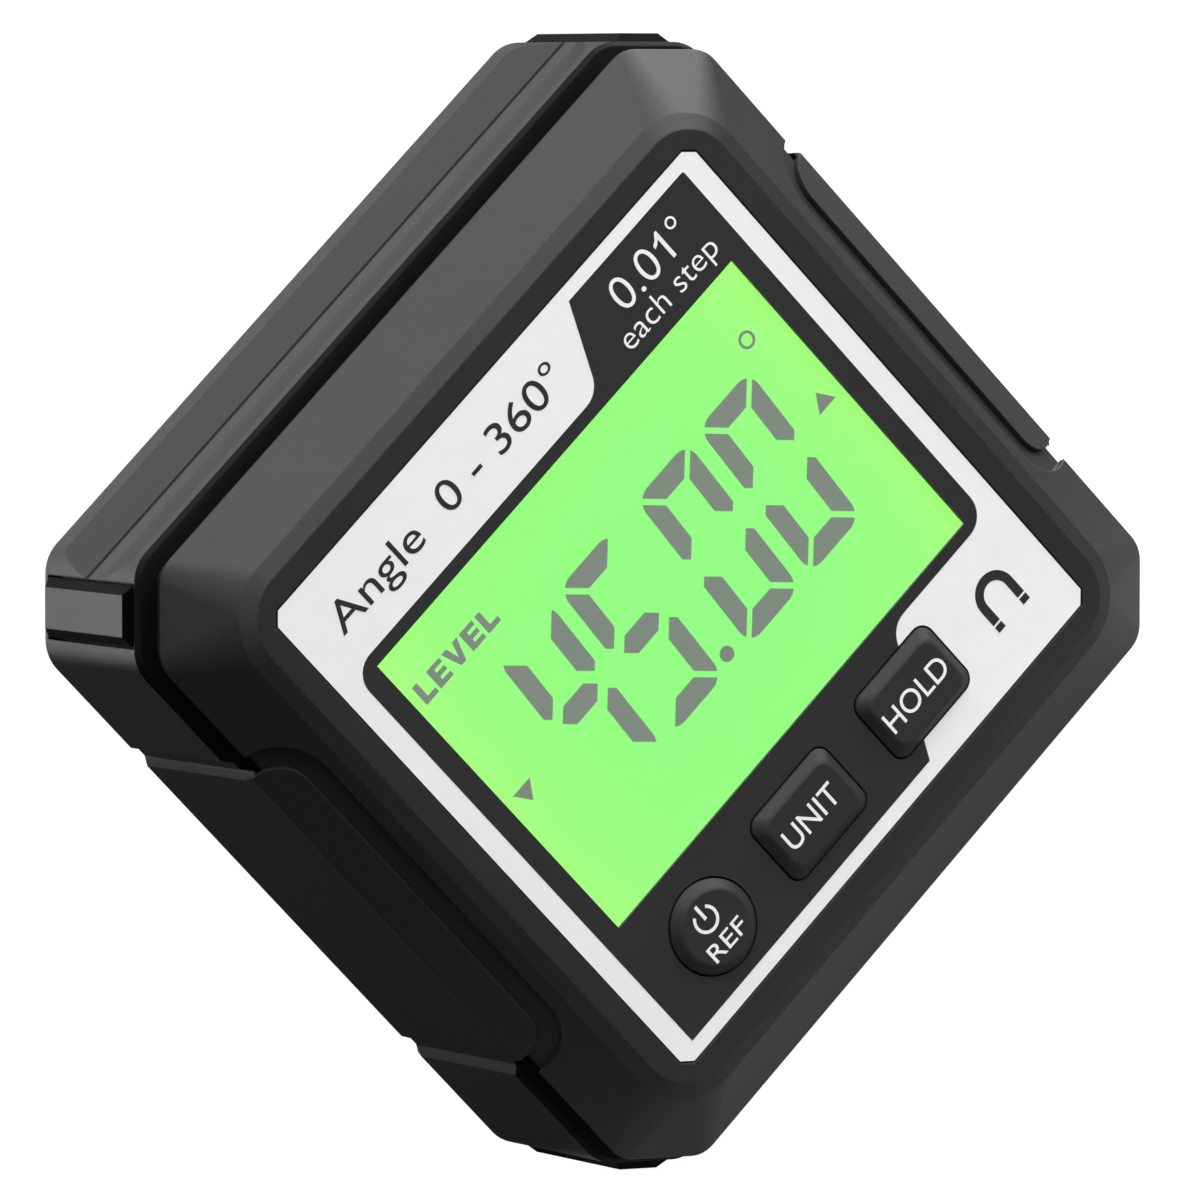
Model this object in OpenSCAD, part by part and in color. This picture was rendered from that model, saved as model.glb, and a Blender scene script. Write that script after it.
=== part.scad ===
// Digital angle gauge: a square magnetic level box with a lit display, three keys and a battery bay behind.
// It stands on its grooved base with the display towards -Y.
// Depths are counted from the flat front frame towards the back, in millimetres.

/* [Case] */
// Width and height of the rear shell
case_w = 60.7; // [59:0.1:76]
// Depth from the front frame to the back face
case_d = 22; // [21.5:0.5:30]
// Leg of the chamfer on each corner of the case
corner_leg = 5; // [4.5:0.1:7]
// Rounding at both ends of a corner chamfer
corner_round = 3; // [1:0.1:4]
// Wall of the rear shell
wall = 2.4; // [2:0.1:3]
// Back wall of the rear shell
back_wall = 1.8; // [1.4:0.1:2.6]
// Softened edge at the back of the rear shell
back_soft = 0.6; // [0.3:0.1:1]

/* [Front shell] */
// Step from the rear shell in to the front shell, on each side
front_drop = 0.53; // [0.2:0.01:0.8]
// Width of the steep bevel, seen from the front
bevel_w = 4; // [3.2:0.1:4.4]
// Width of the gentle rim between the flat frame and the bevel
rim_w = 1.15; // [0.6:0.05:1.6]
// Depth of that rim
rim_d = 0.5; // [0.3:0.05:0.7]
// Depth of the front shell's rear edge
front_edge = 4.1; // [3.8:0.1:5]
// Width of the open seam between the shells
seam_w = 2.3; // [1.5:0.1:3]
// Depth of the seam below the side of the rear shell
seam_deep = 1.6; // [1:0.1:2.4]
// Corner radius of the flat front frame
front_round = 3.85; // [2:0.05:6]
// Thickness of the front plate
plate_t = 1.8; // [1.5:0.1:2]
// Width of the flat frame round the label
frame_w = 1.85; // [1.4:0.05:3]

/* [Label and window] */
// Depth of the recess that the label lies in
label_recess = 0.3; // [0.2:0.05:0.5]
// Thickness of the printed label
label_t = 0.25; // [0.15:0.05:0.3]
// Chamfer on each corner of the label
label_corner = 0.8; // [0.5:0.1:2]
// Label on each side of the display window
window_side = 3.3; // [3:0.1:6]
// Label above the window
title_band = 8.15; // [8:0.05:10]
// Label below the window
key_band = 10.95; // [10.8:0.05:13]
// Clear lip round the window, behind the label
window_lip = 1; // [0.6:0.1:1.1]
// Thickness of the window with its lip
window_t = 0.6; // [0.5:0.05:0.8]

/* [Display] */
// Thickness of the display glass
lcd_t = 2; // [1.6:0.1:2.2]
// Ledge of the display glass that carries its contacts
lcd_ledge = 1.8; // [1.6:0.1:2.5]
// Wall of the display holder
holder_wall = 0.7; // [0.5:0.1:0.9]
// Length of a backlight lamp
lamp_l = 3; // [2:0.1:4]

/* [Keys] */
// Width of the two long keys
key_w = 8.2; // [6:0.1:9]
// Height of the keys
key_h = 5.9; // [5:0.1:6.2]
// Corner radius of the long keys
key_round = 1; // [0.6:0.1:1.6]
// Diameter of the round power key
power_d = 6.8; // [5:0.1:7]
// How far the keys stand out of the front frame
key_proud = 0.6; // [0.55:0.05:1.2]
// Width of the slope round the top of a key
key_slope = 0.75; // [0.3:0.05:0.9]
// Travel of a key
key_travel = 0.5; // [0.3:0.05:0.6]
// Gap round a key in its hole
key_gap = 0.15; // [0.1:0.01:0.25]
// Drop from the window's lower edge to the middle of the key row
key_drop = 5.35; // [5.2:0.05:5.8]
// Centre of the power key, in from the window's left edge
power_in = 5.12; // [4.4:0.02:5.4]
// Spacing of the power and unit keys
unit_pitch = 10.8; // [10.2:0.05:11.5]
// Spacing of the unit and hold keys
hold_pitch = 11.75; // [10:0.05:13]

/* [Board] */
// Depth of the board's front face
board_at = 5.4; // [5.3:0.1:6]
// Thickness of the board
board_t = 1.2; // [0.8:0.1:1.6]
// Height of a switch body above the board
switch_h = 1.8; // [1.6:0.1:1.9]

/* [Battery bay] */
// Room for the chips between the board and the bay
board_room = 1.35; // [1.3:0.05:2]
// Distance of each end of the bay from the wall of the case
bay_end = 3.55; // [2.8:0.05:4.5]
// Room round a cell
cell_gap = 0.25; // [0.15:0.05:0.4]
// Length of a pressed contact spring
spring_l = 3.7; // [3:0.1:4]
// Wall of the bay
bay_wall = 1.2; // [1:0.1:1.6]
// Thickness of the battery cover
cover_t = 1.6; // [1.2:0.1:2]
// Gap round the battery cover
cover_gap = 0.2; // [0.1:0.05:0.4]
// Width of the ledge that carries the cover
cover_ledge = 1; // [0.8:0.1:1.4]

/* [Grooves and magnets] */
// Width of the V groove in the base and the top
groove_w = 11.6; // [9:0.1:12]
// Width of the flat along the bottom of the groove
groove_flat = 2.2; // [1:0.1:4]
// Depth of the groove
groove_deep = 0.9; // [0.5:0.1:1.2]
// Land between the groove and the back face
groove_land = 2.7; // [2:0.1:3.5]
// Diameter of a base magnet
magnet_d = 8; // [5:0.5:9]
// Thickness of a base magnet
magnet_t = 3; // [2:0.5:4]
// Distance of a magnet from the middle
magnet_x = 14; // [10:0.5:16]

/* [Grips and corner pads] */
// Depth of the recess
recess_deep = 0.5; // [0.3:0.05:0.6]
// Length of the grip in the recess
grip_l = 29.6; // [24:0.2:30]
// Reach of the grip up the bevel
grip_reach = 2.3; // [1.5:0.1:2.6]
// Room between the grip and each end of its recess
grip_room = 1.3; // [0.9:0.1:2]
// Room between the grip and the top of its recess on the bevel
reach_room = 1.7; // [0.5:0.1:2]
// Sink of the grip's face below the side of the case
grip_sink = 0.1; // [0.05:0.05:0.2]
// Slope at each end of the grip and of its recess
end_slope = 0.7; // [0.3:0.1:1.2]
// Width of a corner pad
pad_w = 4.2; // [3:0.1:4.4]
// How far a corner pad stands out of its chamfer
pad_rise = 0.6; // [0.3:0.05:0.8]
// Slope round the top of a corner pad
pad_slope = 0.65; // [0.3:0.05:0.9]

/* [Screws] */
// Radius of a case screw's shank
case_screw_r = 1; // [0.8:0.1:1.3]
// Radius of a case screw's head
case_head_r = 2; // [1.6:0.1:2.2]
// Distance of a case screw from the sides of the case
case_screw_in = 7.8; // [7.6:0.1:8.4]
// Radius of a board screw's shank
board_screw_r = 0.8; // [0.6:0.1:0.9]

/* [Hidden] */

// Roundness of exact curves and of blended ones
$fn = 64;
blend_fn = 48;
key_fn = 32;
// Thickness of a slice that a blend starts or ends on
slice = 0.01;
// Extra length of a cut past the face it opens
over = 1;
// Running and seating gaps
fit_gap = 0.1;
seat_gap = 0.05;

// Case outline and frame
half = case_w / 2;
front_half = half - front_drop;
flat_half = front_half - bevel_w - rim_w;
back_edge = front_edge + seam_w;
lip_soft = 0.3;
front_y = key_proud - (case_d + key_proud) / 2;
chamfer_s = (2 * half - corner_leg) / sqrt(2);
least_round = 0.4;

// Softened edge at the back, as shares of its size: [along the depth, across it]
back_steps = [[1, 0], [0.3, 0.3], [0, 1]];

// Bevel of the front shell, from its front line to its rear line
rear_soft = 0.35;
bevel_from = [flat_half + rim_w, rim_d];
bevel_to = [front_half, front_edge - rear_soft];
bevel_a = atan2(bevel_to[1] - bevel_from[1], bevel_to[0] - bevel_from[0]);

// Spigot of the rear shell inside the front shell
spigot_inset = 3.4;
spigot_t = 1.3;
spigot_reach = 1.3;
seat_d = front_edge - spigot_reach;
front_in = flat_half + rim_w / 2;
front_in_round = 2;

// Label, window and display
label_half = flat_half - frame_w;
label_gap = 0.1;
window_w = 2 * (label_half - window_side);
window_h = 2 * label_half - title_band - key_band;
window_up = (key_band - title_band) / 2;
glass_w = window_w + 2 * window_lip;
glass_h = window_h + 2 * window_lip;
window_back = label_recess - label_t + window_t;
lcd_back = window_back + lcd_t;
lcd_step = window_back + lcd_t / 2;
holder_gap = 0.1;
holder_round = 0.6;
holder_w = glass_w + 2 * (holder_gap + holder_wall);
holder_h = glass_h + 2 * (holder_gap + holder_wall);
strip_t = 1.4;
strip_in = 0.5;
strip_l = window_w - 2 * strip_in;
strip_up = window_up - glass_h / 2 + strip_t / 2 + holder_gap;
guide_low = window_up - glass_h / 2 + lcd_ledge;
guide_high = window_up + glass_h / 2;
lamp_w = 0.9;
lamp_h = 2;
lamp_span = window_h / 2;

// Keys, plungers and switches
key_up = window_up - window_h / 2 - key_drop;
power_x = power_in - window_w / 2;
unit_x = power_x + unit_pitch;
hold_x = unit_x + hold_pitch;
lip_at = plate_t + fit_gap;
key_lip = 0.8;
key_lip_t = 0.6;
// Sides of a key's cap: [share of its slope, share of its height]
key_steps = [[0, 0], [0.75, 0.85], [1, 1]];
stem_r = 1.5;
switch_w = 4.5;
switch_round = 0.5;
switch_front = board_at - switch_h;
plunger_r = 1.2;
plunger_gap = 0.08;
plunger_room = 0.1;
press_room = 0.2;
stem_end = switch_front - key_travel - press_room;
bore_floor = 0.4;
bore_end = board_at - bore_floor;
plunger_end = bore_end - key_travel - plunger_room;

// Board and its posts
board_gap = 0.7;
board_half = half - spigot_inset - spigot_t - board_gap;
board_back = board_at + board_t;
board_post_r = 1.9;
board_post_in = 9.1;
board_post_x = board_half - board_post_in;
post_room = 0.5;
board_post_up = window_up + holder_h / 2 + board_post_r + post_room;
key_post_drop = 2.9;
board_posts = [[-board_post_x, board_post_up], [board_post_x, board_post_up],
               [(hold_x + unit_x) / 2, key_up - key_h / 2 - key_post_drop]];
board_head_r = 1.5;
board_head_h = 0.9;
board_screw_tip = 1;
pilot_floor = 0.6;
thread_gap = 0.05;

// Chips on the back of the board
chip_gap = 0.05;
sensor_w = 4;
sensor_t = 1;
sensor_pins = 4;
sensor_room = 1.9;
sensor_up = board_posts[2][1] + board_head_r + sensor_room + sensor_w / 2;
controller_w = 7;
controller_t = 1.2;
controller_pins = 8;
controller_x = -6;
controller_above = 5.5;

// Case posts and screws
post_at = half - case_screw_in;
post_r = 2.4;
post_reach = 3.4;
post_end = board_back + post_reach;
boss_wall = 1.2;
boss_r = case_head_r + boss_wall;
head_sink = 2;
head_seat = case_d - head_sink;
case_head_h = 1.5;
screw_tip = 2;
screw_end = plate_t + screw_tip;
tip_room = 0.5;
notch_sum = 2 * post_at - (post_r + post_room) * sqrt(2);
corners = [[1, 1], [-1, 1], [-1, -1], [1, -1]];

// Battery bay, measured forward from the cover
contact_t = 0.3;
cover_at = case_d - cover_t;
cover_air = 0.5;
bay_floor = board_back + board_room + bay_wall;
cell_d = cover_at - cover_air - cell_gap - bay_floor;
cell_at = cover_at - cover_air - cell_d / 2;
cell_edge = 0.5;
cell_pitch = cell_d + 2 * cell_gap;
bay_half_l = half - wall - bay_end;
cell_l = 2 * (bay_half_l - contact_t) - spring_l;
bay_half_h = cell_pitch / 2 + cell_d / 2 + cell_gap;
cover_half_l = bay_half_l + cover_ledge;
cover_half_h = bay_half_h + cover_ledge;
cover_round = 1.5;
tongue_w = 5;
tongue_l = 1.2;
rib_l = 12;
rib_in = 5;
rib_count = 5;
rib_pitch = 1.6;
rib_r = 0.4;
scoop_l = 6;
scoop_r = 2.2;
scoop_out = 1;
scoop_back = 1.2;
contact_in = 1;
nub_r = 1.9;
nub_l = 0.8;
wire_r = 0.3;
tail_w = 2.4;
tail_slot_gap = 0.15;

// Grooves and magnets
groove_at = case_d - groove_land - groove_w / 2;
magnet_up = -half + groove_deep;
magnet_gap = 0.05;
magnet_cap = 1;

// Recess and grip, in the bevel's own lines
recess_round = 4;
recess_l = grip_l + 2 * grip_room;
recess_reach = grip_reach + reach_room;
grip_round = 2.4;
grip_back = 0.1;
crease_u = (front_half - half + grip_sink * (1 - sin(bevel_a))) / cos(bevel_a);
floor_u = (front_half - half + recess_deep * (1 - sin(bevel_a))) / cos(bevel_a);
rib_in_grip = 1.9;
rib_half = grip_l / 2 - rib_in_grip;
rib_room = 0.2;

// Corner pads
pad_seat = 0.6;
pad_gap = 0.15;
pad_lead = 0.5;
pad_tail = 1.2;
pad_front = back_edge + pad_lead;
pad_back = case_d - pad_tail;
pad_nose = 0.5;
corner_pads = [["corner_pad_top_right", 0], ["corner_pad_top_left", 1],
               ["corner_pad_base_left", 2], ["corner_pad_base_right", 3]];

// Colours
case_black = [0.09, 0.09, 0.095];
rubber_black = [0.07, 0.07, 0.075];
key_black = [0.10, 0.10, 0.105];
label_white = [0.92, 0.92, 0.92];
lit_green = [0.55, 1.0, 0.47];
board_green = [0.06, 0.32, 0.16];
metal = [0.78, 0.78, 0.76];

// Place of a point on the bevel's section: u up the bevel from its rear line, o out of its face
function bevel_point(u, o) = [
    bevel_to[0] - u * cos(bevel_a) + o * sin(bevel_a),
    bevel_to[1] - u * sin(bevel_a) - o * cos(bevel_a)];

// Frame: children are drawn with X to the right, Y up and Z as depth
module stand() translate([0, front_y, half]) mirror([0, 1, 0]) rotate([90, 0, 0]) children();

// A flat outline between two depths
module slab(from, to) translate([0, 0, from]) linear_extrude(to - from) children();

// A thin slice of an outline, for a blend to start or end on
module slice_at(d) slab(d, d + slice) children();

// An outline in X and depth, drawn along the height
module along_up(h) rotate([90, 0, 0]) linear_extrude(h, center = true) children();

// An outline in height and depth, drawn along X
module along_x(l) rotate([90, 0, 90]) linear_extrude(l, center = true) children();

// Children at the four posts of the case
module at_case_posts() for (c = corners) translate([c[0] * post_at, c[1] * post_at]) children();

// Children on the right side, or mirrored to the left one
module on_side(s) mirror([s < 0 ? 1 : 0, 0, 0]) children();

// Frame of the right bevel: X up the bevel, Y up, Z out of its face
module on_bevel() translate([bevel_to[0], 0, bevel_to[1]]) rotate([0, 180 - bevel_a, 0]) children();

module rounded_rect(w, h, r) {
    square([w - 2 * r, h], center = true);
    square([w, h - 2 * r], center = true);
    for (c = corners) translate([c[0] * (w / 2 - r), c[1] * (h / 2 - r)]) circle(r);
}

// Square with its corners cut off, sharp at the cuts
module cut_square(h, leg) polygon([
    [h, h - leg], [h - leg, h], [leg - h, h], [-h, h - leg],
    [-h, leg - h], [leg - h, -h], [h - leg, -h], [h, leg - h]]);

// Square with its corners cut off and both ends of each cut rounded
module soft_square(h, leg, r) {
    far = h - r;
    near = h - leg - r * (sqrt(2) - 1);
    k = r / sqrt(2);
    polygon([
        [h, near], [far + k, near + k], [near + k, far + k], [near, h],
        [-near, h], [-near - k, far + k], [-far - k, near + k], [-h, near],
        [-h, -near], [-far - k, -near - k], [-near - k, -far - k], [-near, -h],
        [near, -h], [near + k, -far - k], [far + k, -near - k], [h, -near]]);
    for (c = corners) {
        translate([c[0] * far, c[1] * near]) circle(r);
        translate([c[0] * near, c[1] * far]) circle(r);
    }
}

// Outline of the case, moved in by the same amount all round
module case_outline(inset) soft_square(half - inset, corner_leg - (2 - sqrt(2)) * inset,
                                       max(corner_round - inset, least_round));

// Outline on the bevel with two round corners at its top, run out well behind the bevel's rear line
module bevel_outline(reach, l, r) translate([reach / 2 - r, 0]) rounded_rect(reach + 2 * r, l, r);

// Recess that runs along a side and up the bevel
module grip_recess() {
    floor_half = recess_l / 2 - end_slope;
    fan = end_slope / recess_deep;
    slab(bevel_from[1], case_d + over) polygon([
        [half - recess_deep, -floor_half], [half + over, -floor_half - fan * (recess_deep + over)],
        [half + over, floor_half + fan * (recess_deep + over)], [half - recess_deep, floor_half]]);
    on_bevel() slab(-recess_deep, over) bevel_outline(recess_reach, recess_l, recess_round);
}

// Outer form of the front shell, blended from the frame to the rear edge
module front_form() hull() {
    slice_at(0) rounded_rect(2 * flat_half, 2 * flat_half, front_round, $fn = blend_fn);
    slice_at(rim_d) rounded_rect(2 * bevel_from[0], 2 * bevel_from[0], front_round + rim_w, $fn = blend_fn);
    slice_at(bevel_to[1]) case_outline(front_drop, $fn = blend_fn);
    slice_at(front_edge - slice) case_outline(front_drop + rear_soft / 2, $fn = blend_fn);
}

module key_hole(x, w, gap) translate([x, key_up])
    rounded_rect(w + 2 * gap, key_h + 2 * gap, key_round + gap);

// Holes for the three keys
module key_holes(gap) {
    key_hole(hold_x, key_w, gap);
    key_hole(unit_x, key_w, gap);
    translate([power_x, key_up]) circle(power_d / 2 + gap);
}

module front_shell() color(case_black) stand() difference() {
    union() {
        difference() {
            front_form();
            slab(plate_t, seat_d + slice) rounded_rect(2 * front_in, 2 * front_in, front_in_round);
            slab(seat_d, front_edge + over) case_outline(spigot_inset - fit_gap);
        }
        at_case_posts() slab(plate_t - slice, post_end) circle(post_r);
        for (p = board_posts) translate(p) slab(plate_t - slice, board_at) circle(board_post_r);
    }
    slab(-over, label_recess) cut_square(label_half + label_gap, label_corner);
    slab(-over, plate_t + over) translate([0, window_up])
        square([glass_w + 2 * holder_gap, glass_h + 2 * holder_gap], center = true);
    slab(-over, plate_t + over) key_holes(key_gap);
    at_case_posts() slab(screw_end - tip_room, post_end + over) circle(case_screw_r + thread_gap);
    for (p = board_posts) translate(p)
        slab(plate_t + pilot_floor, board_at + over) circle(board_screw_r + thread_gap);
    for (s = [-1, 1]) on_side(s) grip_recess();
}

// V groove across the top or the base
module v_groove(s) {
    fan = (groove_w - groove_flat) / 2 / groove_deep;
    mouth = groove_w / 2 + fan * over;
    along_x(case_w + 2 * over) polygon([
        [s * (half - groove_deep), groove_at - groove_flat / 2], [s * (half + over), groove_at - mouth],
        [s * (half + over), groove_at + mouth], [s * (half - groove_deep), groove_at + groove_flat / 2]]);
}

// Upright disc at a magnet's place, from one height to another
module magnet_disc(s, r, from, to) translate([s * magnet_x, from, groove_at]) rotate([-90, 0, 0])
    cylinder(h = to - from, r = r);

// Outer form of the rear shell with its softened edges
module rear_form() {
    slab(back_edge + lip_soft, case_d - back_soft) case_outline(0);
    hull() {
        slice_at(back_edge) case_outline(lip_soft, $fn = blend_fn);
        slice_at(back_edge + lip_soft) case_outline(0, $fn = blend_fn);
    }
    hull() for (s = back_steps) slice_at(case_d - back_soft * s[0] - slice)
        case_outline(back_soft * s[1], $fn = blend_fn);
}

// Slots in the floor of the bay for the tails of the two end contacts
module tail_slots() for (s = [-1, 1])
    translate([bay_half_l - contact_t / 2, s * cell_pitch / 2, bay_floor - bay_wall - over])
        linear_extrude(bay_wall + 2 * over)
            square([contact_t + 2 * tail_slot_gap, tail_w + 2 * tail_slot_gap], center = true);

// Opening for the battery cover, with the notches for its tongues and a finger scoop
module cover_opening() {
    slab(cover_at, case_d + over)
        rounded_rect(2 * (cover_half_l + cover_gap), 2 * (cover_half_h + cover_gap),
                     cover_round + cover_gap);
    for (s = [-1, 1]) translate([-cover_half_l, s * cover_half_h / 2])
        slab(cover_at, case_d + over)
            square([2 * (tongue_l + cover_gap), tongue_w + 2 * cover_gap], center = true);
}

module rear_shell() color(case_black) stand() difference() {
    union() {
        difference() {
            rear_form();
            slab(back_edge - over, case_d - back_wall) case_outline(wall);
        }
        difference() {
            union() {
                slab(seat_d + fit_gap, front_edge + slice) case_outline(spigot_inset);
                slab(front_edge, back_edge + slice) case_outline(seam_deep);
                slab(back_edge, back_edge + spigot_t) case_outline(wall - slice);
            }
            slab(seat_d - over, back_edge + spigot_t + over) case_outline(spigot_inset + spigot_t);
        }
        slab(bay_floor - bay_wall, case_d - back_soft)
            square([2 * (half - wall + slice), 2 * (bay_half_h + cover_ledge + bay_wall)], center = true);
        at_case_posts() slab(post_end, case_d - back_soft) circle(boss_r);
        for (s = [-1, 1]) magnet_disc(s, magnet_d / 2 + magnet_cap, wall - half - slice,
                                      magnet_up + magnet_t + magnet_cap);
    }
    slab(bay_floor, case_d + over) square([2 * bay_half_l, 2 * bay_half_h], center = true);
    cover_opening();
    tail_slots();
    at_case_posts() {
        slab(post_end - over, case_d) circle(case_screw_r + fit_gap);
        slab(head_seat, case_d + over) circle(case_head_r + fit_gap);
    }
    for (s = [-1, 1]) {
        v_groove(s);
        magnet_disc(s, magnet_d / 2 + magnet_gap, -half - over, magnet_up + magnet_t + magnet_gap);
        on_side(s) grip_recess();
    }
    for (i = [0:3]) rotate([0, 0, 45 + 90 * i]) slab(pad_front - pad_gap, pad_back + pad_gap)
        translate([chamfer_s - pad_seat / 2 + over / 2, 0])
            square([pad_seat + over, pad_w + 2 * pad_gap], center = true);
}

// Printed label with a cut-out for the window and one for each key
module graphic_label() color(label_white) stand() slab(label_recess - label_t, label_recess) difference() {
    cut_square(label_half, label_corner);
    translate([0, window_up]) square([window_w, window_h], center = true);
    key_holes(key_gap);
}

// Clear window, raised into the label's cut-out, with a lip behind the label
module display_window() color([0.8, 0.9, 0.85, 0.4]) stand() translate([0, window_up]) {
    slab(label_recess, window_back) square([glass_w, glass_h], center = true);
    slab(label_recess - label_t, label_recess + slice)
        square([window_w - 2 * seat_gap, window_h - 2 * seat_gap], center = true);
}

// Outline of the light guide and of the shorter sheet of glass
module guide_outline() translate([-glass_w / 2, guide_low]) square([glass_w, guide_high - guide_low]);

// Two sheets of glass, the rear one shorter so that the front one bears contacts
module lcd_glass() color(lit_green) stand() {
    slab(window_back, lcd_step) translate([0, window_up]) square([glass_w, glass_h], center = true);
    slab(lcd_step - slice, lcd_back) guide_outline();
}

// Open frame that lines the display up between the front plate and the board
module lcd_holder() color([0.9, 0.9, 0.88]) stand() difference() {
    slab(plate_t, board_at) translate([0, window_up]) rounded_rect(holder_w, holder_h, holder_round);
    slab(plate_t - over, board_at + over) translate([0, window_up])
        square([glass_w + 2 * holder_gap, glass_h + 2 * holder_gap], center = true);
    for (s = [-1, 1]) translate([-holder_w / 2, window_up + s * lamp_span / 2, board_at])
        cube([4 * holder_wall, lamp_l + 2 * fit_gap, 2 * (lamp_h + fit_gap)], center = true);
}

// Clear block that spreads the light behind the glass
module light_guide() color([0.85, 0.95, 0.85]) stand()
    slab(lcd_back, board_at - fit_gap) guide_outline();

// Two lamps that shine into the left edge of the light guide
module backlight_lamps() color([0.95, 0.95, 0.8]) stand() for (s = [-1, 1])
    translate([-glass_w / 2 - fit_gap - lamp_w / 2, window_up + s * lamp_span / 2, board_at - lamp_h / 2])
        cube([lamp_w, lamp_l, lamp_h], center = true);

// Rubber strip that carries the signals from the board to the glass
module contact_strip() color([0.75, 0.4, 0.5]) stand() slab(lcd_step, board_at)
    translate([0, strip_up]) square([strip_l, strip_t], center = true);

// Circuit board, cut back at the corners for the case posts
module main_board() color(board_green) stand() slab(board_at, board_back) difference() {
    cut_square(board_half, 2 * board_half - notch_sum);
    for (p = board_posts) translate(p) circle(board_screw_r + fit_gap);
}

// Flat chip with a row of leads on two sides
module chip(w, h, t, pins) {
    lead_w = h / (2 * pins + 1);
    slab(chip_gap, t) square([w, h], center = true);
    for (i = [0:pins - 1]) translate([0, (i + 0.5 - pins / 2) * 2 * lead_w])
        slab(0, t / 2) square([w + 2 * lead_w, lead_w], center = true);
}

module tilt_sensor() color([0.16, 0.16, 0.17]) stand() translate([0, sensor_up, board_back])
    chip(sensor_w, sensor_w, sensor_t, sensor_pins);

module controller_chip() color([0.12, 0.12, 0.13]) stand()
    translate([controller_x, bay_half_h + controller_above, board_back])
        chip(controller_w, controller_w, controller_t, controller_pins);

// Switch body on the board, with a bore for its plunger
module switch_body(x) color([0.2, 0.2, 0.21]) stand() translate([x, key_up]) difference() {
    slab(switch_front, board_at) rounded_rect(switch_w, switch_w, switch_round);
    slab(switch_front - over, bore_end) circle(plunger_r + plunger_gap);
}

// Plunger that a key pushes into its switch
module plunger(x) color([0.3, 0.3, 0.3]) stand() translate([x, key_up])
    slab(stem_end, plunger_end) circle(plunger_r);

// Long key: sloped cap, shank in the plate, a lip at each end behind it and a stem
module long_key(x) color(key_black) stand() translate([x, key_up]) {
    hull() for (s = key_steps) let (in = 2 * key_slope * s[0])
        slice_at(-key_proud * s[1]) rounded_rect(key_w - in, key_h - in, key_round, $fn = key_fn);
    slab(0, lip_at + key_lip_t) rounded_rect(key_w, key_h, key_round);
    slab(lip_at, lip_at + key_lip_t) square([key_w + 2 * key_lip, key_h - 2 * key_round], center = true);
    slab(lip_at, stem_end) circle(stem_r);
}

// Round key of the same build, turned about its own axis
module power_key() color(key_black) stand() translate([power_x, key_up]) {
    rotate_extrude() polygon(concat(
        [[0, stem_end], [0, -key_proud]],
        [for (i = [len(key_steps) - 1:-1:0])
            [power_d / 2 - key_slope * key_steps[i][0], -key_proud * key_steps[i][1]]],
        [[power_d / 2, lip_at + key_lip_t], [stem_r, lip_at + key_lip_t], [stem_r, stem_end]]));
    slab(lip_at, lip_at + key_lip_t) square([power_d + 2 * key_lip, power_d / 2], center = true);
}

// Cell along X with its nub to the right, or to the left for s = -1
module cell(s) color([0.20, 0.22, 0.30]) stand() translate([0, s * cell_pitch / 2, cell_at])
    rotate([0, s * 90, 0]) translate([0, 0, bay_half_l - contact_t - cell_l]) rotate_extrude() polygon([
        [0, 0], [cell_d / 2 - cell_edge, 0], [cell_d / 2, cell_edge],
        [cell_d / 2, cell_l - nub_l - cell_edge], [cell_d / 2 - cell_edge, cell_l - nub_l],
        [nub_r, cell_l - nub_l], [nub_r, cell_l], [0, cell_l]]);

// Coil spring along Z, wider at its foot, as rings of points swept round
spring_turns = 3;
spring_steps = 14;
spring_sides = 6;
spring_foot = 3.4;
spring_tip = 2.2;
spring_rings = spring_turns * spring_steps;
spring_rise = spring_l - 2 * wire_r - seat_gap;
function spring_r(i) = spring_foot + (spring_tip - spring_foot) * i / spring_rings;
function spring_ring(i) = [for (j = [0:spring_sides - 1])
    let (turn = 360 * i / spring_steps, side = 360 * j / spring_sides, r = spring_r(i) + wire_r * cos(side))
    [r * cos(turn), r * sin(turn), wire_r + spring_rise * i / spring_rings + wire_r * sin(side)]];
module coil() polyhedron(
    points = [for (i = [0:spring_rings]) each spring_ring(i)],
    faces = concat(
        [[for (j = [0:spring_sides - 1]) j]],
        [[for (j = [spring_sides - 1:-1:0]) spring_rings * spring_sides + j]],
        [for (i = [0:spring_rings - 1], j = [0:spring_sides - 1])
            let (a = i * spring_sides + j, b = i * spring_sides + (j + 1) % spring_sides)
            [a, a + spring_sides, b]],
        [for (i = [0:spring_rings - 1], j = [0:spring_sides - 1])
            let (a = i * spring_sides + j, b = i * spring_sides + (j + 1) % spring_sides)
            [b, a + spring_sides, b + spring_sides]]));

// Spring on the far side of a cell from its nub
module contact_spring(s) color(metal) stand()
    translate([-s * (bay_half_l - contact_t), s * cell_pitch / 2, cell_at]) rotate([0, s * 90, 0]) coil();

// Sprung plate at the end of the bay, with a tail down to the board
module end_contact(s) color(metal) stand() {
    plate = cell_d - 2 * contact_in;
    translate([bay_half_l - contact_t / 2, s * cell_pitch / 2]) {
        slab(cell_at - plate / 2, cell_at + plate / 2) square([contact_t, plate], center = true);
        slab(board_back, cell_at) square([contact_t, tail_w], center = true);
    }
}

// Plate that joins the two cells at the other end of the bay
module bridge_contact() color(metal) stand() translate([contact_t / 2 - bay_half_l, 0])
    slab(cell_at - cell_d / 2 + contact_in, cell_at + cell_d / 2 - contact_in)
        square([contact_t, cell_pitch + cell_d - 2 * contact_in], center = true);

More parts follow.
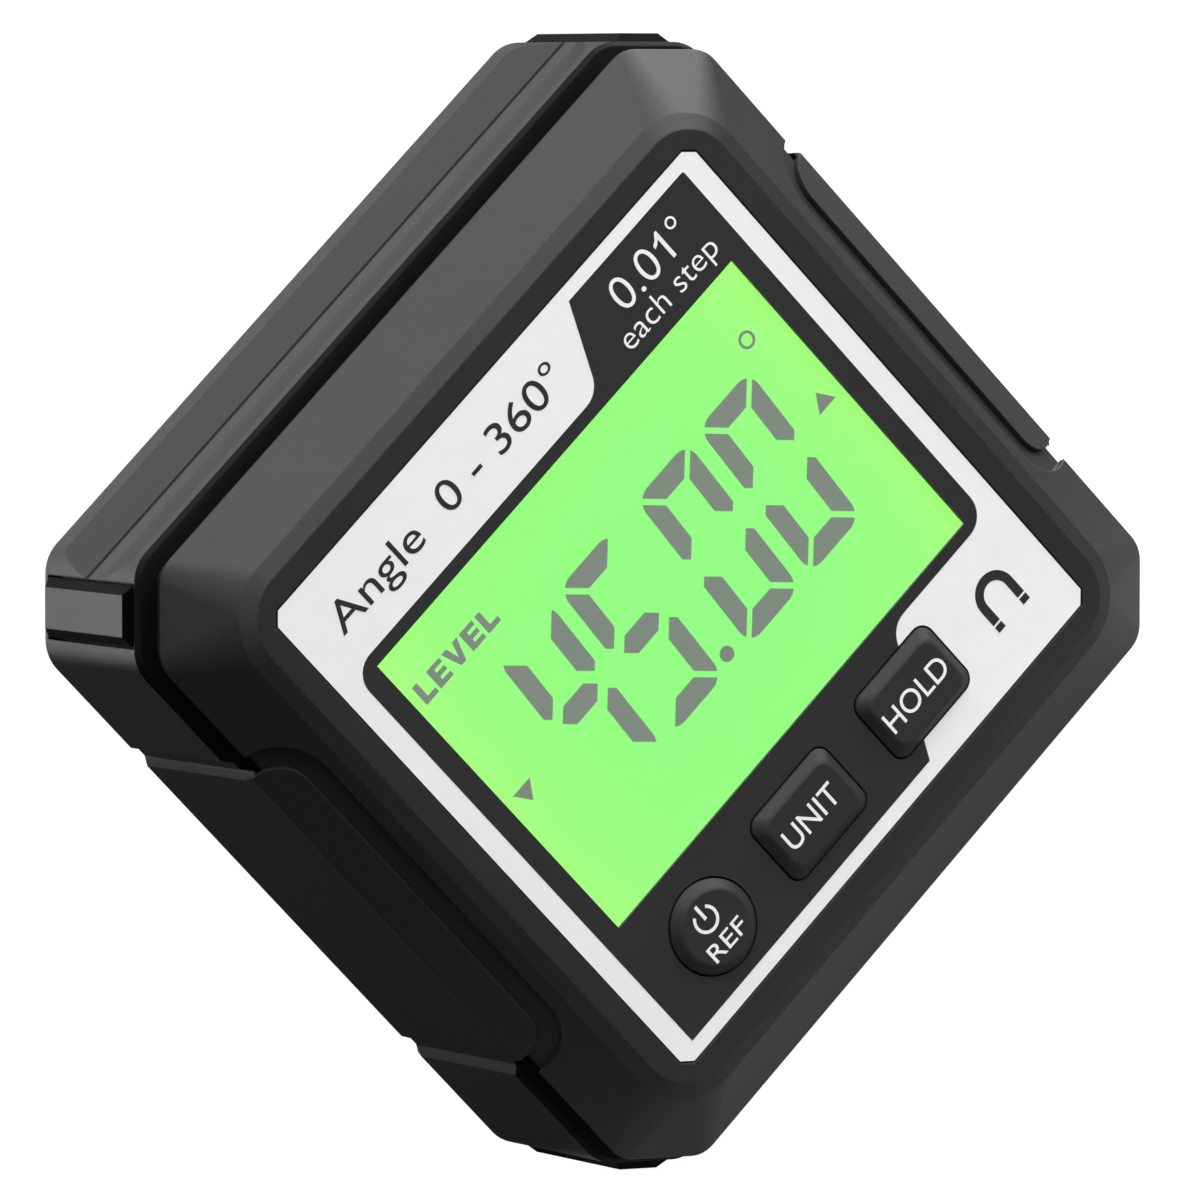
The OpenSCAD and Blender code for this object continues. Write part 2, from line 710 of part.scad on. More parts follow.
// Battery cover: flush plate with two tongues, a finger scoop and thumb ribs
module battery_cover() color(case_black) stand() difference() {
    union() {
        slab(cover_at, case_d) rounded_rect(2 * cover_half_l, 2 * cover_half_h, cover_round);
        for (s = [-1, 1]) translate([-cover_half_l, s * cover_half_h / 2])
            slab(cover_at, case_d - cover_t / 2) square([2 * tongue_l, tongue_w], center = true);
    }
    for (i = [0:rib_count - 1]) translate([cover_half_l - rib_in - i * rib_pitch, 0, case_d])
        rotate([90, 0, 0]) cylinder(h = rib_l, r = rib_r, center = true);
    translate([cover_half_l + scoop_out, 0, case_d + scoop_back]) rotate([90, 0, 0])
        cylinder(h = scoop_l, r = scoop_r, center = true);
}

// Pan-head screw along the depth: head towards the back, shank towards the front
module screw(shank_r, head_r, head_h, tip, seat) difference() {
    union() {
        slab(tip, seat + slice) circle(shank_r);
        slab(seat, seat + head_h) circle(head_r);
    }
    for (a = [0, 90]) rotate([0, 0, a]) slab(seat + head_h / 2, seat + head_h + over)
        square([head_r * 1.2, head_r * 0.3], center = true);
}

module case_screws() color(metal) stand() at_case_posts()
    screw(case_screw_r, case_head_r, case_head_h, screw_end, head_seat);

module board_screws() color(metal) stand() for (p = board_posts)
    translate(p) screw(board_screw_r, board_head_r, board_head_h, plate_t + board_screw_tip, board_back);

module base_magnet(s) color(metal) stand() magnet_disc(s, magnet_d / 2, magnet_up, magnet_up + magnet_t);

// Section of a grip in X and depth: a bent skin on the side and the bevel
module grip_section() {
    polygon([
        [half - grip_sink, case_d - grip_back],
        bevel_point(crease_u, -grip_sink), bevel_point(grip_reach + over, -grip_sink),
        bevel_point(grip_reach + over, -recess_deep), bevel_point(floor_u, -recess_deep),
        [half - recess_deep, case_d - grip_back]]);
}

// Rib of a grip that fills the seam between the shells
module grip_rib() along_up(2 * rib_half) polygon([
    [half - seam_deep, front_edge + rib_room], [half - recess_deep + slice, front_edge + rib_room],
    [half - recess_deep + slice, back_edge - rib_room], [half - seam_deep, back_edge - rib_room]]);

// Grip with sloped ends on the side and round front corners on the bevel
module grip(s) color(rubber_black) stand() on_side(s) {
    foot = grip_l / 2;
    fan = end_slope / (recess_deep - grip_sink);
    crease_d = bevel_point(crease_u, -grip_sink)[1];
    intersection() {
        along_up(grip_l + over) grip_section();
        slab(crease_d - slice, case_d) polygon([
            [half - recess_deep - slice, -foot], [half - recess_deep, -foot],
            [half, -foot + fan * recess_deep], [half, foot - fan * recess_deep],
            [half - recess_deep, foot], [half - recess_deep - slice, foot]]);
    }
    intersection() {
        along_up(grip_l + over) grip_section();
        on_bevel() slab(-2 * recess_deep, over) bevel_outline(grip_reach, grip_l - end_slope, grip_round);
    }
    grip_rib();
}

// Pad on one corner chamfer, seated in a shallow pocket
module corner_pad(i) color(rubber_black) stand() rotate([0, 0, 45 + 90 * i]) intersection() {
    slab(pad_front, pad_back) polygon([
        [chamfer_s - pad_seat, -pad_w / 2], [chamfer_s, -pad_w / 2],
        [chamfer_s + pad_rise, pad_slope - pad_w / 2], [chamfer_s + pad_rise, pad_w / 2 - pad_slope],
        [chamfer_s, pad_w / 2], [chamfer_s - pad_seat, pad_w / 2]]);
    along_up(pad_w + over) polygon([
        [chamfer_s - pad_seat, pad_front], [chamfer_s, pad_front],
        [chamfer_s + pad_rise, pad_front + pad_nose], [chamfer_s + pad_rise, pad_back - pad_slope],
        [chamfer_s, pad_back], [chamfer_s - pad_seat, pad_back]]);
}

front_shell();
rear_shell();
graphic_label();
display_window();
lcd_glass();
lcd_holder();
light_guide();
backlight_lamps();
contact_strip();
main_board();
tilt_sensor();
controller_chip();
switch_body(hold_x);  // hold_switch
switch_body(unit_x);  // unit_switch
switch_body(power_x);  // power_switch
long_key(hold_x);  // hold_key
long_key(unit_x);  // unit_key
power_key();
plunger(hold_x);  // hold_plunger
plunger(unit_x);  // unit_plunger
plunger(power_x);  // power_plunger
cell(1);  // upper_cell
cell(-1);  // lower_cell
contact_spring(1);  // upper_spring
contact_spring(-1);  // lower_spring
bridge_contact();
end_contact(1);  // positive_contact
end_contact(-1);  // negative_contact
battery_cover();
case_screws();
board_screws();
base_magnet(-1);  // left_magnet
base_magnet(1);  // right_magnet
grip(-1);  // left_grip
grip(1);  // right_grip
for (p = corner_pads) corner_pad(p[1]);
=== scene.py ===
"""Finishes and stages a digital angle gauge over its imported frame."""

import math

import bpy
from bpy.props import FloatProperty, FloatVectorProperty, PointerProperty
from mathutils import Matrix, Vector


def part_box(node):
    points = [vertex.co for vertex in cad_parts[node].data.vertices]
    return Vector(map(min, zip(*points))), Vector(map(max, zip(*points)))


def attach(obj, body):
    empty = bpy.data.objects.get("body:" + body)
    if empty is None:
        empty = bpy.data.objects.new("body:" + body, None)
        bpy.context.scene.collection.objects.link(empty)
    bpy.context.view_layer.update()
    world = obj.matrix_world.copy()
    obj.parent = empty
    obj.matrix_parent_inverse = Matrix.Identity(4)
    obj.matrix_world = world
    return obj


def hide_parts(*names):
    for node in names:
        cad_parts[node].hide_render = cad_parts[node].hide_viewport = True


bl_info = {
    "name": "Angle Gauge Finish",
    "version": (1, 0, 0),
    "blender": (4, 5, 0),
    "location": "3D View > Sidebar > Gauge",
    "description": "Finishes and stages a digital angle gauge over its packed frame",
    "category": "Object",
}

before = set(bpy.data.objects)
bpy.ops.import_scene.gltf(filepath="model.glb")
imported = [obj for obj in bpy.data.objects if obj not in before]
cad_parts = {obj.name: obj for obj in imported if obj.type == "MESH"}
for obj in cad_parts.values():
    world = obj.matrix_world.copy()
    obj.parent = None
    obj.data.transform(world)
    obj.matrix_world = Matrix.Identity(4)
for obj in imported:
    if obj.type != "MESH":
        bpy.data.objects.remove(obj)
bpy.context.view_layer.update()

MM = 0.001
UPRIGHT = math.radians(90)

# Planes of the face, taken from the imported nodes
LABEL_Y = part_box("graphic_label")[0].y
GLASS_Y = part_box("lcd_glass")[0].y
KEY_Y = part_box("hold_key")[0].y
FACE_Z = (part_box("graphic_label")[0].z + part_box("graphic_label")[1].z) / 2

# Lamps: name, way to the lamp from the middle of the case, distance and size in metres
LAMPS = (("top_lamp", (0.24, -0.40, 0.88), 0.9, 0.58), ("side_lamp", (0.95, 0.13, 0.30), 0.8, 0.9),
         ("fill_lamp", (0.75, -0.65, 0.12), 0.9, 0.9), ("rim_lamp", (-0.37, 0.88, 0.40), 0.9, 0.5))

# Ends of the dark screens, two to a screen: x, y and height in metres
SCREEN_ENDS = ((-0.28, -0.35, 0.45), (-0.16, 0.05, 0.45), (-0.16, 0.05, 0.055), (-0.03, 0.40, 0.055),
               (-0.03, 0.40, 0.13), (0.35, 0.40, 0.13))


def colour(name, description, default):
    """A colour that a user may change."""
    return FloatVectorProperty(name=name, description=description, default=default,
                               subtype="COLOR", size=3, min=0, max=1)


def length(name, description, default):
    """A length that a user may change, given in millimetres."""
    return FloatProperty(name=name, description=description, default=default * MM,
                         unit="LENGTH", subtype="DISTANCE", precision=5)


def angle(name, description, default):
    """An angle that a user may change, given in degrees."""
    return FloatProperty(name=name, description=description, default=math.radians(default),
                         unit="ROTATION", subtype="ANGLE")


class GaugeColours(bpy.types.PropertyGroup):
    """Colours of the gauge's finishes."""

    case_black: colour("Case", "Moulded shells and battery cover", (0.021, 0.021, 0.022))
    rubber_black: colour("Rubber", "Grips and corner pads", (0.017, 0.017, 0.018))
    key_black: colour("Keys", "Key caps", (0.026, 0.026, 0.027))
    label_white: colour("Label", "Ground of the printed label", (0.88, 0.88, 0.88))
    print_black: colour("Label print", "Dark field of the label", (0.027, 0.027, 0.028))
    legend_white: colour("Legends", "Legends on the dark field and the keys", (0.90, 0.90, 0.90))
    lit_green: colour("Display", "Lit display at its middle", (0.235, 1.0, 0.165))
    lit_edge: colour("Display edge", "Lit display at its ends", (0.37, 1.0, 0.155))
    segment_grey: colour("Segments", "Segments of the display", (0.175, 0.215, 0.175))
    board_green: colour("Board", "Circuit board", (0.015, 0.12, 0.05))
    cell_jacket: colour("Cells", "Jackets of the cells", (0.03, 0.035, 0.06))
    cell_band: colour("Cell bands", "Bands at the nubs of the cells", (0.55, 0.30, 0.08))


class GaugeSizes(bpy.types.PropertyGroup):
    """Sizes of the print, the display and the moulded edges."""

    print_t: length("Print", "Thickness of the print on the label and the keys", 0.02)
    digit_w: length("Digit width", "Width of a digit of the display", 5.65)
    digit_h: length("Digit height", "Height of a digit of the display", 13.7)
    digit_up: length("Digit middle", "Height of the digits' middle above the face's", 1.17)
    digit_slant: angle("Slant", "Slant of the digits", 3.8)
    digit_round: length("Digit corner", "Radius of the digits' outer corners", 1.25)
    segment_t: length("Level segment", "Thickness of the level segments", 1.67)
    segment_w: length("Upright segment", "Thickness of the upright segments", 1.53)
    segment_gap: length("Segment gap", "Gap between two segments", 0.43)
    edge_round: length("Edge", "Rounding of the moulded edges", 0.18)
    # Place of the line of painted shade along the bottom of the grooves
    shade_line_in: length("Groove line", "Distance of the dark line in the grooves from the back", 7.55)


class GaugeStage(bpy.types.PropertyGroup):
    """Camera, lamps and the light from all round."""

    camera_turn: angle("Camera turn", "Turn of the camera from the face towards the left", 18.214)
    camera_rise: angle("Camera rise", "Rise of the camera above the face", 21.459)
    camera_roll: angle("Camera roll", "Roll of the camera about its own axis", 42.212)
    camera_far: length("Camera distance", "Distance of the camera from its aim", 658.9)
    camera_aim: FloatVectorProperty(name="Camera aim",
                                    description="Point on the label that the camera aims at",
                                    default=(-4.406 * MM, LABEL_Y, FACE_Z + 5.399 * MM),
                                    subtype="XYZ", unit="LENGTH", precision=5)
    camera_lens: FloatProperty(name="Lens", description="Focal length of the camera", default=285.2,
                               unit="CAMERA")
    top_power: FloatProperty(name="Top lamp", description="Power of the broad lamp above the face",
                             default=4.0, unit="POWER")
    side_power: FloatProperty(name="Side lamp", description="Power of the lamp at the right",
                              default=10.5, unit="POWER")
    fill_power: FloatProperty(name="Fill lamp", description="Power of the lamp at the front right",
                              default=9.3, unit="POWER")
    rim_power: FloatProperty(name="Rim lamp", description="Power of the lamp behind the left corner",
                             default=0.7, unit="POWER")
    ambient: FloatProperty(name="Ambient", description="Strength of the light from all round", default=0.62)


class Shade:
    """A shader socket that takes part in Python sums."""

    def __init__(self, finish, socket):
        self.finish = finish
        self.socket = socket

    def maths(self, operation, *terms):
        return self.finish.node("ShaderNodeMath", {"operation": operation}, dict(enumerate(terms)))

    def __add__(self, other):
        return self.maths("ADD", self, other)

    def __sub__(self, other):
        return self.maths("SUBTRACT", self, other)

    def __rsub__(self, other):
        return self.maths("SUBTRACT", other, self)

    def __mul__(self, other):
        return self.maths("MULTIPLY", self, other)

    def __pow__(self, other):
        return self.maths("POWER", self, other)

    def __gt__(self, other):
        return self.maths("GREATER_THAN", self, other)

    __radd__ = __add__
    __rmul__ = __mul__


class Finish:
    """A material and its nodes."""

    def __init__(self, owner):
        self.owner = owner
        owner.use_nodes = True
        self.tree = owner.node_tree
        self.tree.nodes.clear()

    def node(self, kind, settings=None, sockets=None, out=0):
        """Adds a node, sets it up, feeds its sockets and gives one of its outputs."""
        node = self.tree.nodes.new(kind)
        for name, value in (settings or {}).items():
            setattr(node, name, value)
        for name, value in (sockets or {}).items():
            socket = node.inputs[name]
            if isinstance(value, Shade):
                self.tree.links.new(value.socket, socket)
            elif socket.type == "RGBA":
                socket.default_value = (*value, 1)
            else:
                socket.default_value = value
        return Shade(self, node.outputs[out])

    def place(self):
        return self.node("ShaderNodeTexCoord", out="Object")

    def along(self, axis, kind="Object"):
        """The place, or the normal, along one axis."""
        vector = self.node("ShaderNodeTexCoord", out=kind)
        return self.node("ShaderNodeSeparateXYZ", {}, {"Vector": vector}, out=axis)

    def ray(self, *kinds):
        """One for rays of these kinds and nought for the rest."""
        total = 0.0
        for kind in kinds:
            total = total + self.node("ShaderNodeLightPath", out=kind)
        return self.within(total)

    def within(self, value):
        return self.node("ShaderNodeClamp", {}, {"Value": value})

    def rising(self, value, start, end):
        """Nought up to the start, one from the end on, and even between the two."""
        return self.within((value - start) * (1 / (end - start)))

    def noise(self, scale, detail=2.0):
        """Even noise with this many grains to the metre."""
        return self.node("ShaderNodeTexNoise", {},
                         {"Vector": self.place(), "Scale": scale, "Detail": detail})

    def blend(self, share, low, high):
        """A colour between two colours."""
        return self.node("ShaderNodeMix", {"data_type": "RGBA"},
                         {"Factor": share, "A": low, "B": high}, out="Result")

    def bump(self, height, depth, strength, edge=0.0):
        """A normal that follows a height, on edges that are rounded by this much."""
        sockets = {"Height": height, "Distance": depth, "Strength": strength}
        if edge:
            sockets["Normal"] = self.node("ShaderNodeBevel", {"samples": 4}, {"Radius": edge})
        return self.node("ShaderNodeBump", {}, sockets)

    def done(self, **sockets):
        """Ends the material in one shader."""
        named = {name.replace("_", " "): value for name, value in sockets.items()}
        self.close(self.node("ShaderNodeBsdfPrincipled", {}, named))
        return self.owner

    def close(self, shader, kind="ShaderNodeOutputMaterial"):
        output = self.tree.nodes.new(kind)
        self.tree.links.new(shader.socket, output.inputs["Surface"])


def toned(shade, by):
    """A shade made lighter or darker."""
    return tuple(value * by for value in shade)


def new_finish(name):
    return Finish(bpy.data.materials.new(name))


def moulded_finish(name, shade, roughness, grain, depth, edge, sheen=0.3, slot=None, shaded_flanks=False):
    """Satin moulding with a fine spark-eroded grain and faint flow clouds.

    Where a slot is given, a narrow line of painted shade lies at that place along Y in faces that look up or
    down, and the faces of the seam get painted shade too. With the flank choice, painted shade covers all but
    a face at
    45 degrees. Painted shade is dark and metallic, which also takes the sheen away.
    """
    finish = new_finish(name)
    fine = finish.noise(grain)
    cloud = finish.noise(90.0, 3.0)
    tone = finish.blend(cloud, toned(shade, 0.88), toned(shade, 1.12))
    rough = roughness - 0.06 + 0.12 * cloud + 0.06 * (fine - 0.5)
    relief, painted_shade = fine, 0.0
    # Painted shade: a narrow dark line along the bottom of the grooves, which is also bumped in as a crease
    if slot is not None:
        half_line = 0.3 * MM
        level = finish.along("Z", "Normal")
        off = (finish.along("Y") - slot) * (1 / half_line)
        deep = finish.rising(finish.within(1.0 - off ** 2.0), 0, 0.8)
        deep = deep * (level * level > 0.9)
        relief = fine - 8.0 * deep
        # Painted shade on the line and on faces that look to the front, which are the walls of the seam
        painted_shade = finish.within(deep + 0.8 * ((0.0 - finish.along("Y", "Normal")) > 0.7))
    # Painted shade on every face of a pad except its face at 45 degrees
    if shaded_flanks:
        face = finish.along("X", "Normal") * finish.along("Z", "Normal")
        painted_shade = 1.0 - (face * face > 0.2)
    # Painted shade makes the colour darker, rougher and metallic, so that it loses its sheen
    if slot is not None or shaded_flanks:
        tone = finish.blend(painted_shade, tone, toned(shade, 0.25))
        rough = rough + 0.3 * painted_shade
    return finish.done(Base_Color=tone, Roughness=rough, Metallic=painted_shade, Specular_IOR_Level=sheen,
                       Normal=finish.bump(relief, depth, 0.5, edge))


def film_finish(name, shade, roughness=0.38, edge=None):
    """Printed film with a very fine tooth, a breath of mottle and, if given, painted shade on its cut edges.
    """
    finish = new_finish(name)
    tooth = finish.noise(9000.0, 1.0)
    mottle = finish.noise(500.0, 2.0)
    tone = finish.blend(mottle, toned(shade, 0.97), toned(shade, 1.03))
    # Painted shade on the cut edges: faces that don't look to the front take the given colour
    if edge:
        tone = finish.blend((0.0 - finish.along("Y", "Normal")) > 0.5, edge, tone)
    return finish.done(Base_Color=tone, Roughness=roughness + 0.1 * (mottle - 0.5),
                       Normal=finish.bump(tooth, 0.004 * MM, 0.4), Specular_IOR_Level=0.2)


def metal_finish(name, shade, roughness):
    """Plated metal with faint rubbing marks."""
    finish = new_finish(name)
    rub = finish.noise(1500.0, 4.0)
    tarnish = finish.noise(260.0, 3.0)
    tone = finish.blend(tarnish, toned(shade, 0.86), shade)
    return finish.done(Base_Color=tone, Metallic=1.0, Roughness=roughness + 0.16 * (rub - 0.5),
                       Normal=finish.bump(rub, 0.006 * MM, 0.3))


def lit_finish(name, middle, ends):
    """Display ground that glows, a little yellower towards both ends."""
    finish = new_finish(name)
    half_wide, half_high = 19.5 * MM, 15 * MM
    side = (finish.along("X") * (1 / half_wide)) ** 4.0
    rise = ((finish.along("Z") - FACE_Z) * (1 / half_high)) ** 4.0
    speck = finish.noise(2500.0, 1.0)
    share = finish.within(0.75 * side + 0.3 * rise + 0.04 * (speck - 0.5))
    return finish.done(Base_Color=(0.02, 0.03, 0.02), Roughness=0.3, Specular_IOR_Level=0.1,
                       Emission_Color=finish.blend(share, middle, ends), Emission_Strength=1.0)


def cell_finish(name, jacket, band, towards):
    """Shrink-wrapped jacket with a band at the nub's end and a bare nub."""
    finish = new_finish(name)
    band_start, nub_start = 12.5 * MM, 23.2 * MM
    along = finish.along("X") * towards
    banded = along > band_start
    bare = along > nub_start
    sheen = finish.noise(700.0, 2.0)
    tone = finish.blend(bare, finish.blend(banded, jacket, band), (0.7, 0.7, 0.68))
    return finish.done(Base_Color=tone, Metallic=0.35 * banded + 0.65 * bare,
                       Roughness=0.3 + 0.15 * sheen, Coat_Weight=0.2)


def board_finish(name, shade):
    """Solder mask with a faint weave under it."""
    finish = new_finish(name)
    weave = finish.noise(1400.0, 3.0)
    tone = finish.blend(weave, toned(shade, 0.8), toned(shade, 1.15))
    return finish.done(Base_Color=tone, Roughness=0.3 + 0.15 * weave, Coat_Weight=0.15,
                       Normal=finish.bump(weave, 0.01 * MM, 0.3))


def clear_finish(name, shade, alpha, roughness):
    """Clear plastic with a faint haze."""
    finish = new_finish(name)
    haze = finish.noise(300.0, 2.0)
    return finish.done(Base_Color=shade, Roughness=roughness + 0.06 * haze, Alpha=alpha + 0.02 * haze)


def select_only(piece):
    bpy.ops.object.select_all(action="DESELECT")
    piece.select_set(True)
    bpy.context.view_layer.objects.active = piece


def settle(piece, body, slot, material, *nodes):
    """Puts a finish on a piece and hangs it on a body, in place of any nodes that are named."""
    piece.data.materials.clear()
    piece.data.materials.append(material)
    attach(piece, body)
    if nodes:
        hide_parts(*nodes)


def paint(material, *nodes):
    """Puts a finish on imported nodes."""
    for name in nodes:
        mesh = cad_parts[name].data
        mesh.materials.clear()
        mesh.materials.append(material)


def merged_copy(node, name):
    """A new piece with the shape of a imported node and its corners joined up."""
    piece = bpy.data.objects.new(name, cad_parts[node].data.copy())
    bpy.context.scene.collection.objects.link(piece)
    select_only(piece)
    bpy.ops.object.mode_set(mode="EDIT")
    bpy.ops.mesh.select_all(action="SELECT")
    bpy.ops.mesh.customdata_custom_splitnormals_clear()
    bpy.ops.mesh.remove_doubles(threshold=0.0005 * MM)
    bpy.ops.mesh.dissolve_limited(angle_limit=math.radians(0.3))
    bpy.ops.object.mode_set(mode="OBJECT")
    return piece


def smoothed(piece, limit=9.5):
    """Shades a piece smooth, apart from edges sharper than the limit in degrees."""
    select_only(piece)
    bpy.ops.object.shade_smooth_by_angle(angle=math.radians(limit))
    even = piece.modifiers.new("even", "WEIGHTED_NORMAL")
    even.keep_sharp = True
    even.weight = 80
    bpy.ops.object.modifier_apply(modifier=even.name)
    return piece


def arc(x, y, radius, start, end, steps):
    """Points on an arc, in degrees from the right."""
    turns = [math.radians(start + (end - start) * i / steps) for i in range(steps + 1)]
    return [(x + radius * math.cos(turn), y + radius * math.sin(turn)) for turn in turns]


def circle(x, y, radius):
    """A closed outline of 24 points."""
    return arc(x, y, radius, 0, 345, 23)


def rounded_outline(corners, steps=8):
    """A closed outline through corners of x, y and radius."""
    points = []
    for i, (x, y, radius) in enumerate(corners):
        here = Vector((x, y))
        back = (Vector(corners[i - 1][:2]) - here).normalized()
        ahead = (Vector(corners[(i + 1) % len(corners)][:2]) - here).normalized()
        if not radius:
            points.append((x, y))
            continue
        half = back.angle(ahead) / 2
        middle = here + (back + ahead).normalized() * (radius / math.sin(half))
        start = here + back * (radius / math.tan(half)) - middle
        end = here + ahead * (radius / math.tan(half)) - middle
        sweep = math.atan2(start.x * end.y - start.y * end.x, start.dot(end))
        for step in range(steps + 1):
            turned = Matrix.Rotation(sweep * step / steps, 2) @ start
            points.append(tuple(middle + turned))
    return points


def stood_up(piece, plane, thickness):
    """Turns a flat piece that lies on the ground up on to a plane of the face."""
    piece.rotation_euler = (UPRIGHT, 0, 0)
    piece.location = (0, plane - thickness / 2, FACE_Z)
    select_only(piece)
    bpy.ops.object.transform_apply(location=True, rotation=True, scale=True)
    return piece


def flat_print(name, outlines, plane, thickness):
    """A thin flat piece on the face, from closed outlines in millimetres right of and above its middle."""
    curve = bpy.data.curves.new(name, "CURVE")
    curve.dimensions = "2D"
    curve.fill_mode = "BOTH"
    curve.extrude = thickness / 2
    for outline in outlines:
        spline = curve.splines.new("POLY")
        spline.points.add(len(outline) - 1)
        spline.use_cyclic_u = True
        for point, (x, y) in zip(spline.points, outline):
            point.co = (x * MM, y * MM, 0, 1)
    piece = bpy.data.objects.new(name, curve)
    bpy.context.scene.collection.objects.link(piece)
    select_only(piece)
    bpy.ops.object.convert(target="MESH")
    return stood_up(bpy.context.object, plane, thickness)


def lettering(name, words, middle, size, plane, thickness, weight=-0.008):
    """Words on the face, fitted to a width and a height in millimetres, with strokes of some weight."""
    bpy.ops.object.select_all(action="DESELECT")
    bpy.ops.object.text_add(location=(0, 0, 0))
    piece = bpy.context.object
    piece.name = name
    piece.data.body = words
    piece.data.extrude = thickness / 2
    piece.data.offset = weight
    bpy.ops.object.convert(target="MESH")
    piece = bpy.context.object
    piece.data.name = name
    across = [corner[0] for corner in piece.bound_box]
    high = [corner[1] for corner in piece.bound_box]
    fit = Matrix.Diagonal((size[0] * MM / (max(across) - min(across)),
                           size[1] * MM / (max(high) - min(high)), 1, 1))
    centre = Matrix.Translation((-(max(across) + min(across)) / 2, -(max(high) + min(high)) / 2, 0))
    piece.data.transform(Matrix.Translation((middle[0] * MM, middle[1] * MM, 0)) @ fit @ centre)
    return stood_up(piece, plane, thickness)


class GAUGE_OT_shells(bpy.types.Operator):
    """Dresses the front and rear shells and the battery cover in moulded plastic"""

    bl_idname = "gauge.shells"
    bl_label = "Shells"

    def execute(self, context):
        colours, sizes = context.scene.gauge_colours, context.scene.gauge_sizes
        satin = {"roughness": 0.40, "grain": 5200.0, "depth": 0.02 * MM, "edge": sizes.edge_round}
        groove_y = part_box("rear_shell")[1].y - sizes.shade_line_in
        plastic = moulded_finish("moulded_black", colours.case_black, **satin)
        # The rear shell gets painted shade along its groove line and on its seam walls
        groove_and_seam_shaded = moulded_finish("groove_and_seam_shaded_black", colours.case_black, slot=groove_y, **satin)
        for node, body, finish in (("front_shell", "case", plastic), ("rear_shell", "case", groove_and_seam_shaded),
                                   ("battery_cover", "cover", plastic)):
            settle(smoothed(merged_copy(node, node + "_moulding")), body, "case_plastic", finish, node)
        return {"FINISHED"}


class GAUGE_OT_grips(bpy.types.Operator):
    """Dresses the side grips and the corner pads in rubber"""

    bl_idname = "gauge.grips"
    bl_label = "Grips and pads"

    def execute(self, context):
        colours, sizes = context.scene.gauge_colours, context.scene.gauge_sizes
        skin = {"grain": 3600.0, "depth": 0.03 * MM, "edge": sizes.edge_round}
        rubber = moulded_finish("soft_rubber", colours.rubber_black, 0.58, **skin)
        # The corner pads get painted shade on their slopes and ends
        padding = moulded_finish("pad_rubber", colours.rubber_black, 0.45, sheen=0.5, shaded_flanks=True, **skin)
        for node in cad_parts:
            if node.endswith("_grip") or node.startswith("corner_pad"):
                piece = smoothed(merged_copy(node, node + "_rubber"))
                settle(piece, "case", "grip_rubber", rubber if node.endswith("_grip") else padding, node)
        return {"FINISHED"}


class GAUGE_OT_label(bpy.types.Operator):
    """Prints the label: its dark field, its figures and the magnet sign"""

    bl_idname = "gauge.label"
    bl_label = "Label"

    def execute(self, context):
        colours, sizes = context.scene.gauge_colours, context.scene.gauge_sizes
        # The label's cut edges get painted shade, a lighter tone of the print's black
        film = film_finish("label_film", colours.label_white, edge=toned(colours.print_black, 1.6))
        paint(film, "graphic_label")
        black = film_finish("label_print", colours.print_black, 0.42)
        white = film_finish("legend_print", colours.legend_white)

        # Corners of the dark field, each with its radius, in millimetres from the middle of the face
        right, top, foot, left, base, head = 21.15, 21.8, -12.75, -21.15, -21.7, 15.65
        corners = [(8.52, top, 0), (right, top, 0.2), (right, foot, 1.9), (10.4, foot, 2.0), (5.73, base, 0),
                   (left, base, 0), (left, head, 1.8), (5.6, head, 2.0)]
        field = flat_print("label_field", [rounded_outline(corners)], LABEL_Y, sizes.print_t)
        cutter_forward = 0.1 * MM
        cutter = merged_copy("graphic_label", "label_cutter")
        cutter.data.transform(Matrix.Translation((0, -cutter_forward, 0)))
        select_only(field)
        trim = field.modifiers.new("trim", "BOOLEAN")
        trim.operation = "INTERSECT"
        trim.solver = "EXACT"
        trim.object = cutter
        bpy.ops.object.modifier_apply(modifier=trim.name)
        bpy.data.objects.remove(cutter)
        settle(field, "case", "label_print", black)

        over = LABEL_Y - sizes.print_t
        title = lettering("label_range", "Angle  0 - 360°", (-7.7, 18.75), (24.2, 3.1),
                          LABEL_Y, sizes.print_t, weight=0.0)
        settle(title, "case", "label_print", black)
        for name, words, middle, size in (("label_step", "0.0", (13.22, 19.24), (4.33, 2.42)),
                                          ("label_each", "each step", (14.4, 16.4), (9.9, 2.25))):
            settle(lettering(name, words, middle, size, over, sizes.print_t), "case", "label_print", white)

        one = [(16.4, 18.07), (16.71, 18.07), (16.71, 20.42), (16.52, 20.42), (16.15, 19.98), (15.8, 19.77),
               (15.8, 19.5), (16.12, 19.64), (16.4, 19.88)]
        degree = [circle(17.92, 19.99, radius) for radius in (0.46, 0.3)]
        step_end = flat_print("label_step_end", [one] + degree, over, sizes.print_t)
        settle(step_end, "case", "label_print", white)

        x, bow, leg, pole, tip = 17.77, -17.3, -18.73, -18.89, -19.42
        outer, inner = 1.75, 1.04
        arch = [(x + outer, leg)] + arc(x, bow, outer, 0, 180, 24) + [(x - outer, leg), (x - inner, leg)]
        arch += arc(x, bow, inner, 180, 0, 24) + [(x + inner, leg)]
        poles = [[(x + side * inner, tip), (x + side * outer, tip), (x + side * outer, pole),
                  (x + side * inner, pole)] for side in (-1, 1)]
        sign = flat_print("label_magnet_sign", [arch] + poles, LABEL_Y, sizes.print_t)
        settle(sign, "case", "label_print", black)
        return {"FINISHED"}


